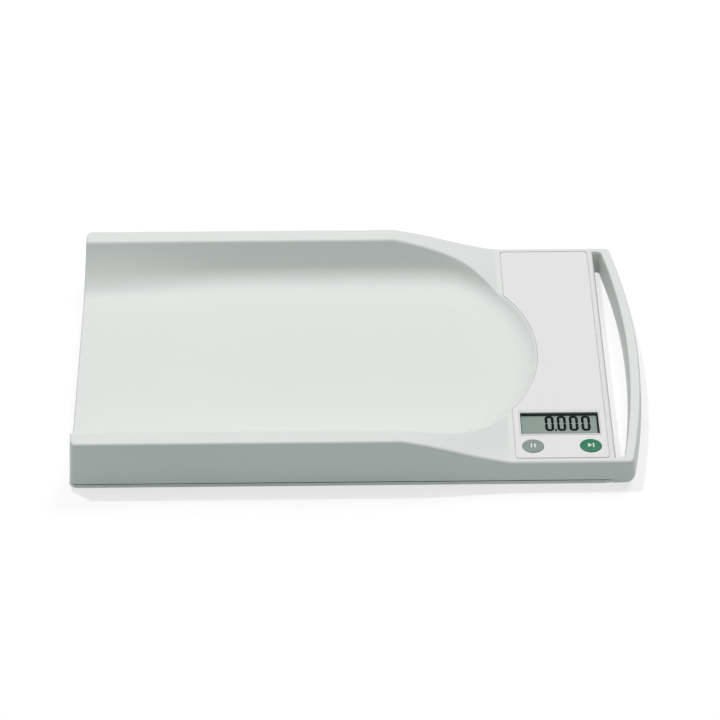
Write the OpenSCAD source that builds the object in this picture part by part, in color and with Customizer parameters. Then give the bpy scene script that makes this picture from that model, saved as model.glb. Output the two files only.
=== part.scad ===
// Digital baby weighing scale: an open-ended trough, a deck with the display and keys, and a handle.
// Lengths along X are measured from the trough's open end; centred() moves each piece to the middle.

/* [Overall] */
// Width across the tops of the two side rims
rim_width = 310; // [304:1:330]
// Open end to where the rims start down
rim_length = 332.5; // [310:0.5:380]
// Length of the slope from rim to deck
shoulder_run = 111; // [100:1:125]
// Foot of the slope to the handle slot
deck_length = 108; // [108:1:125]
// Deck above the seam between the two housings
deck_height = 30.8; // [30.8:0.1:36]
// Rims above the deck
rim_rise = 31.6; // [26:0.1:40]
// Strip of base cover that shows under the seam
base_strip = 5; // [4.5:0.1:8]
// Band of the base cover that stands flush with the housing's walls
band_rise = 4; // [2:0.1:6]
// Base cover above the floor
foot_clearance = 2; // [1.8:0.1:3]

/* [Top housing] */
// Wall of the moulded housing
wall = 3; // [2.4:0.1:3.4]
// Rounding of the upper outer edges
edge_round = 3; // [1.5:0.1:4]
// Lean of the open end's wall
end_draft = 3.5; // [1:0.1:4]
// Lean of each side wall
side_draft = 2; // [0.5:0.1:3]
// Share of the slope that is an S curve rather than a straight ramp
shoulder_ease = 0.5; // [0:0.05:1]
// Stiffening ribs of the housing
shell_rib = 2; // [1.2:0.1:2.6]

/* [Trough] */
// Flat top of each side rim
rim_top = 17; // [14:0.5:22]
// Rims above the trough's floor
tray_depth = 45.4; // [42:0.1:48]
// Run of the straight wall, from the floor's curve to the rim
wall_run = 10; // [8:0.5:16]
// Horizontal run of the curve from floor to wall
fillet_run = 36; // [30:0.5:40]
// Rise of the curve from floor to wall
fillet_rise = 22; // [18:0.5:26]
// Length over which the walls steepen from the open end
flare_length = 200; // [120:5:260]
// Rounding of the open end's lip
lip_round = 3.5; // [1.5:0.1:4]
// Centre of the scooped end, past the start of the slope
scoop_offset = 21; // [10:1:30]

/* [Handle] */
// Width of the slot at its ends
slot_end_gap = 7; // [5:0.5:12]
// How much wider the slot is in the middle
slot_bow = 16; // [10:0.5:20]
// Housing left beside each end of the slot
slot_margin = 7; // [5:0.5:12]
// Width of the grip at its ends
grip_width = 10.2; // [10:0.1:14]
// How far the grip bows out
handle_bow = 18.3; // [14:0.1:24]
// Underside of the grip above the seam
handle_lift = 3; // [1:0.5:6]
// Lean of the grip's outer wall
handle_draft = 1.5; // [0.5:0.1:3]
// Rounding of the lower outer corner
lower_round = 6; // [3:0.5:8]

/* [Foil] */
// Deck between the slope and the foil
foil_margin = 5.7; // [5:0.1:7]
// Deck between the foil and the handle slot
slot_land = 8; // [6.3:0.1:9.3]
// Deck between the foil and each side
foil_side = 5; // [5:0.5:8]
// Corner radius of the foil
foil_corner = 3.5; // [1:0.1:6]
// Thickness of the foil
foil_thickness = 0.5; // [0.45:0.01:0.8]
// Depth of the foil's recess
foil_recess = 0.4; // [0.2:0.05:0.4]

/* [Display] */
// Display opening to the foil's right edge
window_side = 7; // [6.5:0.1:11]
// Display opening across the deck
window_width = 29.5; // [27:0.1:30]
// Foil's left edge to the display opening
window_inset = 7.3; // [7:0.1:8.5]
// Foil's front edge to the display opening
window_setback = 32.5; // [32:0.1:34]
// Height of the numbers
digit_height = 21; // [16:0.5:22]
// Width of one number
digit_width = 8.7; // [7:0.1:9]
// Distance from one number to the next
digit_pitch = 12.4; // [11:0.1:12.8]

/* [Keys] */
// Long axis of each oval key
key_length = 22; // [18:0.5:23]
// Short axis of each oval key
key_width = 18; // [15:0.5:18.5]
// Start key's centre to the foil's right edge
key_side = 17.6; // [16.2:0.1:22]
// Foil's left edge to the hold key's centre
key_inset = 18.1; // [17.5:0.1:20]
// Foil's front edge to the keys' centres
key_setback = 16; // [15:0.1:16.5]
// Height of the keys above the foil
key_height = 1.1; // [0.6:0.1:2]
// Travel of the keys
key_travel = 0.5; // [0.3:0.1:0.6]

/* [Base] */
// Plate of the base cover
base_plate = 2.4; // [2:0.1:3]
// Rim of the base cover
base_wall = 2; // [1.6:0.1:3]
// Height of the rim inside the top housing
base_lap = 7; // [3:0.5:8]
// Ribs on the base plate
base_rib_height = 2.6; // [1.5:0.1:2.6]
// Gap between the two housings
seam_gap = 0.4; // [0.2:0.05:0.6]

/* [Feet] */
// Open end to the left pair of feet
foot_inset = 60; // [52:1:80]
// Slot wall to the right pair of feet
foot_setback = 42.6; // [42:0.1:46]
// Rim of the base cover to the feet
foot_margin = 36.6; // [35:0.1:38]
// Radius of a foot
foot_radius = 16; // [14:0.5:16]
// Thickness of its rubber pad
pad_thickness = 2.2; // [2:0.1:3]
// Side of the square load cell
cell_size = 34; // [30:0.5:35]
// Thickness of the load cell
cell_plate = 2.5; // [1.5:0.1:3]

/* [Batteries] */
// Diameter of a cell
battery_diameter = 14.3; // [13:0.1:14.4]
// Length of a cell
battery_length = 50.2; // [48:0.1:50.5]
// Right rear foot to the battery bay
bay_setback = 35.8; // [35.3:0.1:40]
// Thickness of the battery door
door_plate = 2; // [1.6:0.1:2]
// Gap round the battery door
door_gap = 0.4; // [0.3:0.05:0.5]

/* [Fasteners] */
// Radius of the self-tapping screws
screw_radius = 1.25; // [1:0.05:1.4]
// Radius of their heads
head_radius = 2.8; // [2.4:0.1:3]
// Height of their heads
head_height = 1.8; // [1.4:0.1:2]

/* [Hidden] */
CORNERS = ["front_left", "rear_left", "front_right", "rear_right"];
BATTERIES = 4;
$fn = 64;

white = [0.90, 0.91, 0.90];
base_grey = [0.72, 0.74, 0.74];
board_green = [0.12, 0.36, 0.22];
steel = [0.75, 0.76, 0.78];
black = [0.07, 0.07, 0.08];

half = rim_width / 2;
seam_z = foot_clearance + base_strip;
deck_z = seam_z + deck_height;
rim_z = deck_z + rim_rise;
floor_z = rim_z - tray_depth;
handle_z = seam_z + handle_lift;
deck_x = rim_length + shoulder_run;
slot_x = deck_x + deck_length;
corner_x = slot_x + slot_end_gap + grip_width;
slot_half = half - slot_margin;
scoop_x = rim_length + scoop_offset;
overall_length = corner_x + handle_bow + handle_draft;
above = 8;               // cutters run this far past a surface

tray_half = half - rim_top;
floor_half = tray_half - wall_run - fillet_run;
knee_angle = 77;         // the floor's curve hands over to the wall here
knee_r = floor_half + fillet_run * sin(knee_angle);
knee_z = floor_z + fillet_rise * (1 - cos(knee_angle));
flare_power = 1.35;      // shape of the gentle wall at the open end
scoop_cos = 1 - (deck_z - floor_z) / fillet_rise;
scoop_edge = floor_half + fillet_run * sqrt(1 - scoop_cos * scoop_cos);

inner_x0 = wall + end_draft;
inner_x1 = slot_x - wall;
inner_half = half - wall;
deck_under = deck_z - wall;

base_x0 = inner_x0 + seam_gap;
base_x1 = inner_x1 - seam_gap;
base_half = inner_half - seam_gap;
base_corner = 5;
band_corner = 3;
band_gap = 0.2;
plate_z = foot_clearance + base_plate;
post_z = plate_z + 3.6;
pilot_radius = screw_radius + 0.1;
post_radius = 5.5;
boss_radius = 4.2;

fit = 0.3;               // running clearance of what slides or is dropped in
foil_x0 = deck_x + foil_margin;
foil_x1 = slot_x - slot_land;
foil_y0 = foil_side - half;
foil_z = deck_z - foil_recess;
foil_top = foil_z + foil_thickness;

window_x0 = foil_x0 + window_inset;
window_y0 = foil_y0 + window_setback;
window_x1 = foil_x1 - window_side;
window_y1 = window_y0 + window_width;
bezel_side = 1.5;
bezel_rear = 4;
bezel_recess = 1.6;
lens_thickness = 1.2;
lens_z = deck_z - bezel_recess;
glass_margin_x = 4;
glass_margin_y = 2.75;
glass_thickness = 2.2;
glass_top = deck_under - 0.2;
glass_z = glass_top - glass_thickness;
holder_wall = 1.6;

board_thickness = 1.6;
board_z = deck_under - 10.8;      // top face of the circuit board
board_x0 = foil_x0 + 1.3;
board_x1 = foil_x1 + 1;
board_y0 = foil_y0 + 2;
board_y1 = window_y1 + 18;
connector_z = board_z - board_thickness - 6;

function key_y() = foil_y0 + key_setback;
hold_x = foil_x0 + key_inset;
start_x = foil_x1 - key_side;
board_fixings = [[foil_x0 + 8.3, window_y1 + 13], [foil_x1 - 6, window_y1 + 13],
                 [mix(hold_x, start_x, 0.33), key_y() - 4], [mix(hold_x, start_x, 0.67), key_y() - 4]];
flange = 1.5;
flange_top = deck_under - fit;
flange_z = flange_top - 1.5;
switch_size = 6;
switch_height = 3.5;
plunger_top = board_z + 5;

cell_z = plate_z + 4.1;
cell_top = cell_z + cell_plate;
carrier = cell_size + 12;
carrier_z = plate_z + 2.6;
carrier_top = cell_top + 2;
ear_reach = carrier / 2 + 5;
ear_top = post_z + 2.6;
foot_xs = [foot_inset, inner_x1 - foot_setback];
foot_y = base_half - foot_margin;

bay_pitch = battery_diameter + 0.9;
bay_length = battery_length + 9.8;
bay_width = BATTERIES * bay_pitch + 2.4;
bay_wall = 1.6;
bay_x1 = base_x1 - 8.6;
bay_x0 = bay_x1 - bay_length;
bay_y1 = foot_y - bay_setback;
bay_y0 = bay_y1 - bay_width;
battery_z = foot_clearance + door_plate + 0.75 + battery_diameter / 2;
bay_top = battery_z + battery_diameter / 2 + 0.75;
barrel_radius = 1.5;
pin_radius = 0.9;
hinge_y = bay_y1 - door_gap - barrel_radius;
hinge_z = foot_clearance + 1.6;

lead_radius = 1.2;
lead_z = cell_z + cell_plate / 2;
lead_bend = 4;
battery_lead_radius = 0.8;
battery_lead_z = bay_top - 8;

housing_fixings = [
    for (s = [-1, 1]) each [[24, s * (base_half - 9.6)], [rim_length * 0.55, s * (floor_half + 10)],
                            [rim_length - 17, s * (floor_half + 10)], [deck_x + 2, s * (base_half - 9.6)]],
    [base_x1 - 8.6, -25], [base_x1 - 8.6, base_half - 9.6]];

// ---- helpers ----

module centred() translate([-overall_length / 2, 0, 0]) children();

function mix(a, b, t) = a + (b - a) * t;
function ease(t) = let (u = min(max(t, 0), 1)) u * u * (3 - 2 * u);
function flip(list) = [for (i = [len(list) - 1:-1:0]) list[i]];

// How far an arc over a chord of half-length h and given rise stands out at y
function bow(y, h, rise) = let (r = (h * h + rise * rise) / (2 * rise)) sqrt(r * r - y * y) - (r - rise);

// Points of an arc, each with its outward direction
function arc(cx, cz, r, a0, a1, n) =
    [for (i = [0:n]) let (a = mix(a0, a1, i / n)) [cx + r * cos(a), cz + r * sin(a), cos(a), sin(a)]];

// Outline of a rectangle with round corners
function rounded(x0, y0, x1, y1, r) = [
    for (c = [[x1 - r, y1 - r, 0], [x0 + r, y1 - r, 90], [x0 + r, y0 + r, 180], [x1 - r, y0 + r, 270]])
        for (i = [0:6]) [c[0] + r * cos(c[2] + 15 * i), c[1] + r * sin(c[2] + 15 * i)]];

function oval(length, width, n = 40) =
    [for (i = [0:n - 1]) [length / 2 * cos(360 * i / n), width / 2 * sin(360 * i / n)]];

// Triangles of a skin over m rings of n points, closed at both ends
function loft_faces(n, m) = concat(
    [for (j = [0:m - 2]) for (i = [0:n - 1]) let (a = j * n + i, b = j * n + (i + 1) % n)
        each [[a, a + n, b + n], [a, b + n, b]]],
    [for (i = [1:n - 2]) [0, i, i + 1]],
    [for (i = [1:n - 2]) let (k = (m - 1) * n) [k, k + i + 1, k + i]]);

module loft(rings) polyhedron([for (r = rings) each r], loft_faces(len(rings[0]), len(rings)), convexity = 8);

module block(x0, y0, z0, x1, y1, z1) translate([x0, y0, z0]) cube([x1 - x0, y1 - y0, z1 - z0]);

module slab(outline, z0, z1) translate([0, 0, z0]) linear_extrude(z1 - z0) polygon(outline);

module rod(x, y, z0, z1, r) translate([x, y, z0]) cylinder(r = r, h = z1 - z0);

module screw(x, y, seat, length, up = 1) translate([x, y, seat]) scale_z(up) {
    translate([0, 0, -head_height]) cylinder(r = head_radius, h = head_height);
    cylinder(r = screw_radius, h = length);
}

module scale_z(up) { if (up > 0) children(); else mirror([0, 0, 1]) children(); }

// ---- top housing ----

function slope(t) = 1 - (1 - shoulder_ease) * t - shoulder_ease * (1 - cos(180 * t)) / 2;
function slope_rate(t) = rim_rise / shoulder_run * ((1 - shoulder_ease) + shoulder_ease * PI / 2 * sin(180 * t));
function shoulder(n) = [for (i = [0:n]) let (t = i / n, v = [slope_rate(t), 1] / norm([slope_rate(t), 1]))
    [rim_length + t * shoulder_run, deck_z + rim_rise * slope(t), v[0], v[1]]];

// Side view of the housing at y, from its lower left over the top to its lower right
function side_view(y) = let (x = corner_x + bow(y, half, handle_bow)) concat(
    arc(end_draft, seam_z + end_draft, end_draft, 270, 180, 4),
    arc(end_draft + edge_round, rim_z - edge_round, edge_round, 180, 90, 4),
    shoulder(12),
    arc(x - edge_round, deck_z - edge_round, edge_round, 90, 0, 4),
    arc(x + handle_draft - lower_round, handle_z + lower_round, lower_round, 0, -90, 4),
    [[inner_x1, seam_z, 0, -1]]);

function skin_ring(y, inset) = [for (p = side_view(y)) let (z = p[1] - inset * max(p[3], 0))
    [p[0] - inset * p[2], y * (1 + side_draft / half * (rim_z - z) / (rim_z - seam_z)), z]];

module skin() {
    steps = 3;
    spans = 14;
    edge = [for (i = [0:steps]) let (a = 90 * i / steps)
        [half - edge_round * (1 - sin(a)), edge_round * (1 - cos(a))]];
    loft(concat([for (e = flip(edge)) skin_ring(-e[0], e[1])],
                [for (k = [1:spans - 1]) skin_ring(mix(-edge[0][0], edge[0][0], k / spans), 0)],
                [for (e = edge) skin_ring(e[0], e[1])]));
}

// Half section of the trough from floor to above the rim: s is 0 at the open end, 1 where it is steep
function deep_wall() = concat(
    [for (i = [0:5]) let (a = knee_angle * i / 5)
        [floor_half + fillet_run * sin(a), floor_z + fillet_rise * (1 - cos(a))]],
    [for (z = [mix(knee_z, rim_z, 0.33), mix(knee_z, rim_z, 0.67), rim_z + above])
        [mix(knee_r, tray_half, (z - knee_z) / (rim_z - knee_z)), z]]);
function half_section(s) = [for (p = deep_wall())
    [mix(floor_half + (tray_half - floor_half) * pow((p[1] - floor_z) / tray_depth, 1 / flare_power), p[0], s), p[1]]];
function grown(pts, t) = [for (i = [0:len(pts) - 1])
    let (a = i > 0 ? pts[i - 1] : [0, floor_z], b = pts[min(i + 1, len(pts) - 1)], d = (b - a) / norm(b - a))
    [pts[i][0] + t * d[1], pts[i][1] - t * d[0]]];

function trough_ring(x, s, t, lean) = let (h = grown(half_section(s), t))
    [for (p = concat([for (q = flip(h)) [-q[0], q[1]]], h))
        [x + lean * end_draft * (p[1] - seam_z) / (rim_z - seam_z), p[0], p[1]]];

// The trough's hollow, grown by t; its open end is rounded by lip
module trough(t, lip) {
    lips = [[-above, lip], for (a = [90, 60, 30, 0]) [lip * (1 - sin(a)), lip * (1 - cos(a))]];
    spans = 10;
    loft(concat([for (e = lips) trough_ring(e[0], 0, t + e[1], 1)],
                [for (k = [1:spans]) trough_ring(flare_length * k / spans, ease(k / spans), t, 0)],
                [trough_ring(scoop_x, 1, t, 0)]));
    section = grown(half_section(1), t);
    translate([scoop_x, 0, 0]) rotate([0, 0, -90]) rotate_extrude(angle = 180, $fn = 96)
        polygon(concat([[0, section[0][1]]], section, [[0, rim_z + above]]));
}

module shell_ribs() {
    for (x = [rim_length * 0.28:rim_length * 0.18:rim_length]) {
        block(x - shell_rib / 2, -half, floor_z + 10, x + shell_rib / 2, half, rim_z);
        block(x - shell_rib / 2, -floor_half, floor_z - 9, x + shell_rib / 2, floor_half, rim_z);
    }
    for (y = [-50, 0, 50])
        block(0, y - shell_rib / 2, floor_z - 9, scoop_x + 60, y + shell_rib / 2, rim_z);
}

module housing_bosses() for (p = housing_fixings) rod(p[0], p[1], post_z, rim_z, boss_radius);

module board_bosses() for (p = board_fixings) rod(p[0], p[1], board_z, deck_z, 3);

// What is hollow under the skin
module hollow() difference() {
    rotate([90, 0, 0]) translate([0, 0, -inner_half]) linear_extrude(2 * inner_half) polygon(concat(
        [[inner_x0, -1], [inner_x0, rim_z - wall]],
        [for (p = shoulder(12)) [p[0] - wall * p[2], p[1] - wall * p[3]]],
        [[inner_x1, deck_under], [inner_x1, -1]]));
    trough(wall, 0);
    shell_ribs();
    housing_bosses();
    board_bosses();
}

function grip_inside(y) = slot_x + slot_end_gap + bow(y, slot_half, slot_bow);

// The finger slot; its straight side leans like the outer walls
module handle_slot() intersection() {
    slab(concat([[slot_x - 1, -slot_half], [slot_x + slot_end_gap, -slot_half]],
                [for (k = [-11:11]) let (y = slot_half * k / 12) [grip_inside(y), y]],
                [[slot_x + slot_end_gap, slot_half], [slot_x - 1, slot_half]]), -above, deck_z + above);
    rotate([90, 0, 0]) translate([0, 0, -half]) linear_extrude(2 * half)
        polygon([[slot_x + handle_draft, seam_z - above], [slot_x + handle_draft, seam_z], [slot_x, deck_z],
                 [slot_x, deck_z + above], [corner_x + handle_bow, deck_z + above],
                 [corner_x + handle_bow, seam_z - above]]);
}

// Pockets under the grip, with webs between them
module grip_pockets() {
    pockets = 5;
    web = 2.5;
    reach = slot_half - 12;
    pitch = (2 * reach + web) / pockets;
    for (k = [0:pockets - 1]) {
        y0 = -reach + k * pitch;
        ys = [for (i = [0:4]) y0 + (pitch - web) * i / 4];
        slab(concat([for (y = ys) [grip_inside(y) + wall, y]],
                    [for (y = flip(ys)) [corner_x + bow(y, half, handle_bow) - wall, y]]),
             -above, deck_under - 1);
    }
}

module foil_outline(grow) difference() {
    polygon(rounded(foil_x0 - grow, foil_y0 - grow, foil_x1 + grow, -foil_y0 + grow, foil_corner + grow));
    translate([scoop_x, 0]) circle(r = scoop_edge + 1.2 - grow, $fn = 180);
}

module bezel_outline(grow) polygon(rounded(window_x0 - bezel_side - grow, window_y0 - bezel_side - grow,
    window_x1 + bezel_side + grow, window_y1 + bezel_rear + grow, 1 + grow));

module opening_outline(grow) polygon(rounded(window_x0 - grow, window_y0 - grow,
    window_x1 + grow, window_y1 + grow, 0.6 + grow));

module key_outline(x, grow) translate([x, key_y()]) polygon(oval(key_length + 2 * grow, key_width + 2 * grow));

module tray_shell() color(white) centred() difference() {
    skin();
    hollow();
    trough(0, lip_round);
    handle_slot();
    grip_pockets();
    translate([0, 0, seam_z - above]) linear_extrude(above + band_rise) band_outline(-above, band_gap);
    translate([0, 0, foil_z]) linear_extrude(above) foil_outline(fit);
    translate([0, 0, lens_z]) linear_extrude(above) bezel_outline(0.2);
    translate([0, 0, deck_under - 1]) linear_extrude(above) opening_outline(0);
    for (x = [hold_x, start_x]) translate([0, 0, deck_under - 1]) linear_extrude(above) key_outline(x, fit);
    for (p = housing_fixings) rod(p[0], p[1], post_z - 1, floor_z - 5, pilot_radius);
    for (p = board_fixings) rod(p[0], p[1], board_z - 1, deck_under - 2, pilot_radius);
}

// ---- deck ----

module panel_foil() color([0.91, 0.92, 0.92]) centred() translate([0, 0, foil_z])
    linear_extrude(foil_thickness) difference() {
        foil_outline(0);
        bezel_outline(0.2);
        for (x = [hold_x, start_x]) key_outline(x, fit);
    }

module display_bezel() color(white) centred() translate([0, 0, lens_z + lens_thickness])
    linear_extrude(foil_top + 0.35 - lens_z - lens_thickness) difference() {
        bezel_outline(0);
        opening_outline(0);
    }

module display_window() color([0.8, 0.86, 0.85, 0.35]) centred()
    translate([0, 0, lens_z]) linear_extrude(lens_thickness) bezel_outline(0);

// Black foam round the display, broad along its rear and right sides
module display_gasket() color(black) centred() difference() {
    translate([0, 0, glass_top]) linear_extrude(lens_z - 0.1 - glass_top) opening_outline(-0.1);
    block(window_x0 + 0.7, window_y0 + 0.7, glass_top - 1, window_x1 - 2.2, window_y1 - 2.6, deck_z);
}

glass_x0 = window_x0 - glass_margin_x;
glass_x1 = window_x1 + glass_margin_x;
glass_y0 = window_y0 - glass_margin_y;
glass_y1 = window_y1 + glass_margin_y;

module lcd_glass() color([0.59, 0.66, 0.62]) centred()
    block(glass_x0, glass_y0, glass_z, glass_x1, glass_y1, glass_top);

// One bar of a number, pointed at both ends
module bar(length, w) polygon([[w / 2, 0], [w, w / 2], [length - w, w / 2], [length - w / 2, 0],
                               [length - w, -w / 2], [w, -w / 2]]);

module zero() {
    w = 1.5;
    gap = 0.12;
    wide = digit_width - w;
    tall = (digit_height - w) / 2;
    for (y = [0, 2 * tall]) translate([gap, y]) bar(wide - 2 * gap, w);
    for (x = [0, wide]) for (y = [0, tall]) translate([x, y + gap]) rotate(90) bar(tall - 2 * gap, w);
}

module lcd_digits() color([0.08, 0.09, 0.14]) centred()
    translate([window_x1 - 2.2 - 6.6, window_y0 + 5.8, glass_top]) linear_extrude(0.15) {
        for (k = [1:4]) translate([-k * digit_pitch + digit_pitch - digit_width, 0]) zero();
        translate([-3 * digit_pitch - 2.7, -0.8]) square(1.5);
    }

// Frame that holds the display glass over the board, with slots for the two contact strips
module lcd_holder() color([0.82, 0.82, 0.80]) centred() difference() {
    block(glass_x0 - holder_wall - 0.2, glass_y0 - holder_wall - 0.2, board_z,
          glass_x1 + holder_wall + 0.2, glass_y1 + holder_wall + 0.2, glass_top - 0.1);
    block(glass_x0 - 0.2, glass_y0 - 0.2, glass_z, glass_x1 + 0.2, glass_y1 + 0.2, deck_z);
    block(glass_x0 + 3, glass_y0 + 6, board_z - 1, glass_x1 - 3, glass_y1 - 6, deck_z);
    for (y = [glass_y0 + 1.6, glass_y1 - 4.4])
        block(window_x0 - 0.2, y, board_z - 1, window_x1 + 0.2, y + 2.8, deck_z);
}

module zebra_strips() color([0.35, 0.35, 0.37]) centred() for (y = [glass_y0 + 1.8, glass_y1 - 4.2])
    block(window_x0, y, board_z, window_x1, y + 2.4, glass_z);

module main_board() color(board_green) centred() difference() {
    block(board_x0, board_y0, board_z - board_thickness, board_x1, board_y1, board_z);
    for (p = board_fixings) rod(p[0], p[1], 0, deck_z, screw_radius + 0.3);
}

under_board = board_z - board_thickness;
sensor_plug_x = board_x0 + 10;
sensor_plug_y = -foot_y;
lead_step = 10;
battery_plug_x = bay_x0 - 11;
battery_plug_y = board_y1 - 5;

// What is soldered under the board: connectors, processor, converter, crystal, capacitor, buzzer
module board_parts() color([0.16, 0.16, 0.17]) centred() {
    block(sensor_plug_x - 4, sensor_plug_y - 4, connector_z, sensor_plug_x + 4,
          sensor_plug_y + 3 * lead_step + 4, under_board);
    block(battery_plug_x - 6, battery_plug_y - 3, connector_z, battery_plug_x + 4, battery_plug_y + 3, under_board);
    block(board_x1 - 52, window_y1 - 14, under_board - 1.6, board_x1 - 38, window_y1, under_board);
    block(board_x0 + 26, window_y0 + 4, under_board - 1.6, board_x0 + 31, window_y0 + 14, under_board);
    rod(board_x1 - 32, window_y1 + 8, under_board - 3.5, under_board, 2);
    rod(board_x1 - 14, window_y0 + 20, under_board - 5, under_board, 4);
}

module board_screws() color(steel) centred()
    for (p = board_fixings) screw(p[0], p[1], under_board, board_thickness + 7);

// Oval key with a domed top, a flange that keeps it in, and a stem onto its switch
module key(x, tint) color(tint) centred() translate([x, key_y(), 0]) {
    loft([for (r = [[flange_z, flange], [flange_top, flange], [flange_top + 0.01, 0], [foil_top + 0.35 * key_height, 0],
                    [foil_top + 0.75 * key_height, -0.5], [foil_top + 0.92 * key_height, -2],
                    [foil_top + key_height, -5.5]])
        [for (p = oval(key_length + 2 * r[1], key_width + 2 * r[1])) [p[0], p[1], r[0]]]]);
    translate([0, 0, plunger_top]) cylinder(r = 3, h = flange_z + 0.5 - plunger_top);
}

module key_start() key(start_x, [0.18, 0.51, 0.35]);

module key_hold() key(hold_x, [0.59, 0.65, 0.62]);

module switch_bodies() color(black) centred() for (x = [hold_x, start_x]) difference() {
    translate([x, key_y(), board_z + switch_height / 2]) cube([switch_size, switch_size, switch_height], center = true);
    rod(x, key_y(), board_z + 0.9, deck_z, 1.9);
}

module plunger(x) color([0.2, 0.2, 0.22]) centred() rod(x, key_y(), board_z + 1 + key_travel, plunger_top, 1.75);

module plunger_start() plunger(start_x);

module plunger_hold() plunger(hold_x);

// ---- feet and load cells: one stack at each corner ----

function corner_x_of(i) = foot_xs[i < 2 ? 0 : 1];
function corner_side(i) = i % 2 == 0 ? -1 : 1;
module at_corner(i) centred() translate([corner_x_of(i), corner_side(i) * foot_y, 0])
    mirror([i < 2 ? 0 : 1, 0, 0]) children();

module foot_pad() color([0.2, 0.2, 0.21]) rotate_extrude()
    polygon([[0, 0], [foot_radius - 2.7, 0], [foot_radius - 2, 0.7], [foot_radius - 2, pad_thickness], [0, pad_thickness]]);

module foot() color([0.30, 0.31, 0.32]) rotate_extrude() polygon([
    [0, pad_thickness], [foot_radius - 1.9, pad_thickness], [foot_radius - 1.9, pad_thickness - 1],
    [foot_radius, pad_thickness - 1], [foot_radius, plate_z + 0.4], [9, plate_z + 2.1], [9, cell_z],
    [2.5, cell_z], [2.5, cell_top], [0, cell_top]]);

// Stamped steel plate: the outer frame bends away from the tongue in its middle
module load_cell() {
    s = cell_size / 2;
    color(steel) translate([0, 0, cell_z]) linear_extrude(cell_plate) difference() {
        square(cell_size, center = true);
        for (y = [-1, 1]) translate([-s + 7, y * (s - 8) - 1]) square([cell_size - 12.5, 2]);
        translate([s - 7.5, -s + 7]) square([2, cell_size - 14]);
        circle(r = 2.6);
        for (x = [-1, 1]) for (y = [-1, 1]) translate([x * (s - 2.8), y * (s - 2.8)]) circle(r = 1.2);
    }
    color("white") translate([-s + 9, -2.5, cell_top]) cube([6, 5, 0.8]);
}

module cell_holder() color([0.85, 0.85, 0.83]) difference() {
    union() {
        slab(rounded(-carrier / 2, -carrier / 2, carrier / 2, carrier / 2, 4), carrier_z, carrier_top);
        slab(rounded(-6, -ear_reach - 5, 6, ear_reach + 5, 4), post_z, ear_top);
    }
    block(-cell_size / 2 - fit, -cell_size / 2 - fit, 0, cell_size / 2 + fit, cell_size / 2 + fit, cell_top);
    slab(rounded(-cell_size / 2 + 4.5, -cell_size / 2 + 4.5, cell_size / 2 - 4.5, cell_size / 2 - 4.5, 2), 0, rim_z);
    for (s = [-1, 1]) rod(0, s * ear_reach, 0, rim_z, screw_radius + 0.35);
    translate([cell_size / 2, 0, lead_z]) rotate([0, 90, 0]) cylinder(r = lead_radius + fit, h = carrier);
}

module holder_screws() color(steel) for (i = [0:3]) for (s = [-1, 1])
    at_corner(i) screw(0, s * ear_reach, ear_top, ear_top - foot_clearance - 2.6, -1);

// ---- base cover ----

module base_outline(grow) polygon(rounded(base_x0 - grow, -base_half - grow, base_x1 + grow, base_half + grow,
    base_corner + grow));

// Plan of the flush band: out to the housing's walls, and open inside for the base cover
module band_outline(inset, inner) difference() {
    polygon(rounded(inset, inset - half - side_draft, base_x1, half + side_draft - inset, band_corner));
    base_outline(inner);
}

module base_ribs() {
    for (x = [rim_length * 0.37:rim_length * 0.25:rim_length * 1.3])
        block(x - 0.8, -base_half + 1, foot_clearance + 1, x + 0.8, base_half - 1, plate_z + base_rib_height);
    for (y = [-50, 0, 50])
        block(base_x0 + 1, y - 0.8, foot_clearance + 1, bay_x0 - 14, y + 0.8, plate_z + base_rib_height);
}

// Two fingers that hold a lead on the base
module lead_clip(x, y) for (s = [-1, 1])
    translate([x - 2, y + s * (lead_radius + 0.9) - 0.6, foot_clearance + 1])
        cube([4, 1.2, lead_z + lead_radius - foot_clearance - 1]);

module base_cover() color(base_grey) centred() difference() {
    union() {
        translate([0, 0, foot_clearance]) linear_extrude(base_plate) base_outline(0);
        translate([0, 0, foot_clearance]) linear_extrude(base_strip + base_lap) difference() {
            base_outline(0);
            base_outline(-base_wall);
        }
        translate([0, 0, seam_z]) linear_extrude(band_rise - band_gap) band_outline(0.3, -base_wall / 2);
        base_ribs();
        for (p = housing_fixings) rod(p[0], p[1], foot_clearance, post_z, post_radius);
        for (x = foot_xs) for (s = [-1, 1]) {
            rod(x, s * foot_y, foot_clearance, plate_z + 2.2, foot_radius + 3);
            for (e = [-1, 1]) rod(x, s * foot_y + e * ear_reach, foot_clearance, post_z, 4.5);
        }
        for (s = [-1, 1]) for (x = [rim_length * 0.45, rim_length * 0.75]) lead_clip(x, s * foot_y);
        block(bay_x0 - bay_wall, bay_y0 - bay_wall, foot_clearance, bay_x1 + bay_wall, bay_y1 + bay_wall,
              bay_top + bay_wall);
    }
    for (p = housing_fixings) {
        rod(p[0], p[1], foot_clearance - 1, foot_clearance + 3.2, head_radius + 0.4);
        rod(p[0], p[1], foot_clearance, post_z + 1, screw_radius + 0.35);
    }
    for (x = foot_xs) for (s = [-1, 1]) {
        rod(x, s * foot_y, foot_clearance - 1, post_z, foot_radius + 1);
        for (e = [-1, 1]) rod(x, s * foot_y + e * ear_reach, foot_clearance + 1.4, post_z + 1, pilot_radius);
    }
    battery_bay();
}

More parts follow.
